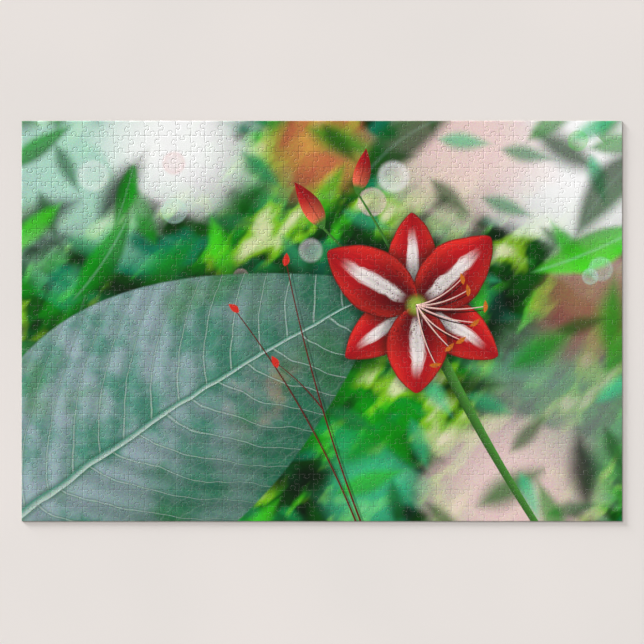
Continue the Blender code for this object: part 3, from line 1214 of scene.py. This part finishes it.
def backing_paper(wires):
    fibre = wires.place(FIBRES, Scale=1100.0, Stretch=(0.35, 1.0, 0.35))
    colour = wires.lay(BACK_PALE, BACK_DULL, wires.noise(60.0, 4.0, 0.6), 0.35, 0.65)
    colour = wires.mix(wires.times(fibre["Fleck"], 0.45), colour, BACK_FLECK)
    rough = wires.line(fibre["Mask"], 0.2, 0.70)
    return {"Base Color": colour, "Roughness": rough, "Normal": wires.bump(fibre["Mask"], 0.25, 0.0001)}


# %% Put the pieces on the table
def put(name, data):
    """A new object in the scene."""
    made = bpy.data.objects.new(name, data)
    bpy.context.scene.collection.objects.link(made)
    return made


finishes = [new_material(wire) for wire in (printed_face, cut_board, backing_paper)]
for node, mesh in block_meshes.items():
    for finish in finishes:
        mesh.materials.append(finish)
    pieces = put(mesh.name, mesh)
    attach(pieces, "root")
    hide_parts(node)
print("blocks of pieces:", len(block_meshes), "nodes in the print:", len(finishes[PRINT].node_tree.nodes))

# %% [markdown]
# The table, the light and the camera
# The puzzle lies on a plain pale surface, seen from straight above. Only low light brings out the
# cuts and the shadow of so thin a sheet. So one soft sun stands low at the back left, and a wider,
# higher one from the same side and the pale room do the rest. From across the table the low sun
# would lay a white glare over half of the print. A photographer of flat work takes that glare off
# with a filter, and here the low sun is hidden from glossy rays, which does the same.

# %% The table
TABLE_SIZE = 9.0
TABLE_DROP = 0.00005
TABLE_WARM = ink(234, 228, 225)
TABLE_COOL = ink(230, 225, 222)


def table_top(wires):
    colour = wires.lay(TABLE_WARM, TABLE_COOL, wires.noise(3.0, 2.0, 0.5), 0.3, 0.7)
    return {"Base Color": colour, "Roughness": 0.85, "Specular IOR Level": 0.15}


def make_table():
    side = TABLE_SIZE / 2
    mesh = bpy.data.meshes.new("table")
    corners = [(x * side, y * side, -TABLE_DROP) for x, y in ((-1, -1), (1, -1), (1, 1), (-1, 1))]
    mesh.from_pydata(corners, [], [(0, 1, 2, 3)])
    mesh.materials.append(new_material(table_top))
    return put("table", mesh)


make_table()


# %% The lights
def soft_light(name, azimuth, elevation, spread, strength, colour):
    """Even light from one side. Angles are in degrees, and azimuth 0 is the sheet's right."""
    turn, rise = math.radians(azimuth), math.radians(elevation)
    source = Vector((math.cos(turn) * math.cos(rise), math.sin(turn) * math.cos(rise), math.sin(rise)))
    lamp = bpy.data.lights.new(name, "SUN")
    lamp.energy = strength
    lamp.angle = math.radians(spread)
    lamp.color = colour
    light = put(name, lamp)
    light.location = source * 2.0
    light.rotation_euler = source.to_track_quat("Z", "Y").to_euler()
    return light


low_light = soft_light("low_side_light", 136, 8, 13, 6.3, (0.97, 0.985, 1.0))
low_light.visible_glossy = False
soft_light("high_side_light", 136, 38, 22, 1.65, (1.0, 0.995, 0.985))
ROOM_SIDES = (0.95, 0.93, 0.90, 1.0)
ROOM_CEILING = (0.17, 0.166, 0.16, 1.0)


def light_room():
    """A pale room: brighter at the height of its windows than at its ceiling."""
    world = bpy.data.worlds.new("room")
    bpy.context.scene.world = world
    world.use_nodes = True
    wires = Wiring(world.node_tree)
    height = wires.along(wires.node("TexCoord").outputs["Generated"], UP)
    colour = wires.lay(ROOM_SIDES, ROOM_CEILING, height, 0.1, 0.9)
    wires.fill(world.node_tree.nodes["Background"].inputs, {"Color": colour})


light_room()
bpy.context.scene.view_settings.view_transform = "Standard"

# %% The camera
PHOTO_SIDE = 644
SHEET_IN_PHOTO = 600.5
SHEET_MIDDLE_IN_PHOTO = (321.9, 321.0)
SENSOR = 36.0
LENS = 85.0

metres_per_pixel = SHEET_WIDTH / SHEET_IN_PHOTO
camera_height = PHOTO_SIDE * metres_per_pixel * LENS / SENSOR
camera = put("camera", bpy.data.cameras.new("camera"))
camera.data.lens = LENS
camera.data.sensor_width = SENSOR
camera.location = (
    (PHOTO_SIDE / 2 - SHEET_MIDDLE_IN_PHOTO[0]) * metres_per_pixel,
    (SHEET_MIDDLE_IN_PHOTO[1] - PHOTO_SIDE / 2) * metres_per_pixel,
    BOARD_THICKNESS + camera_height,
)
bpy.context.scene.camera = camera
print("camera height, in metres:", round(camera_height, 3))
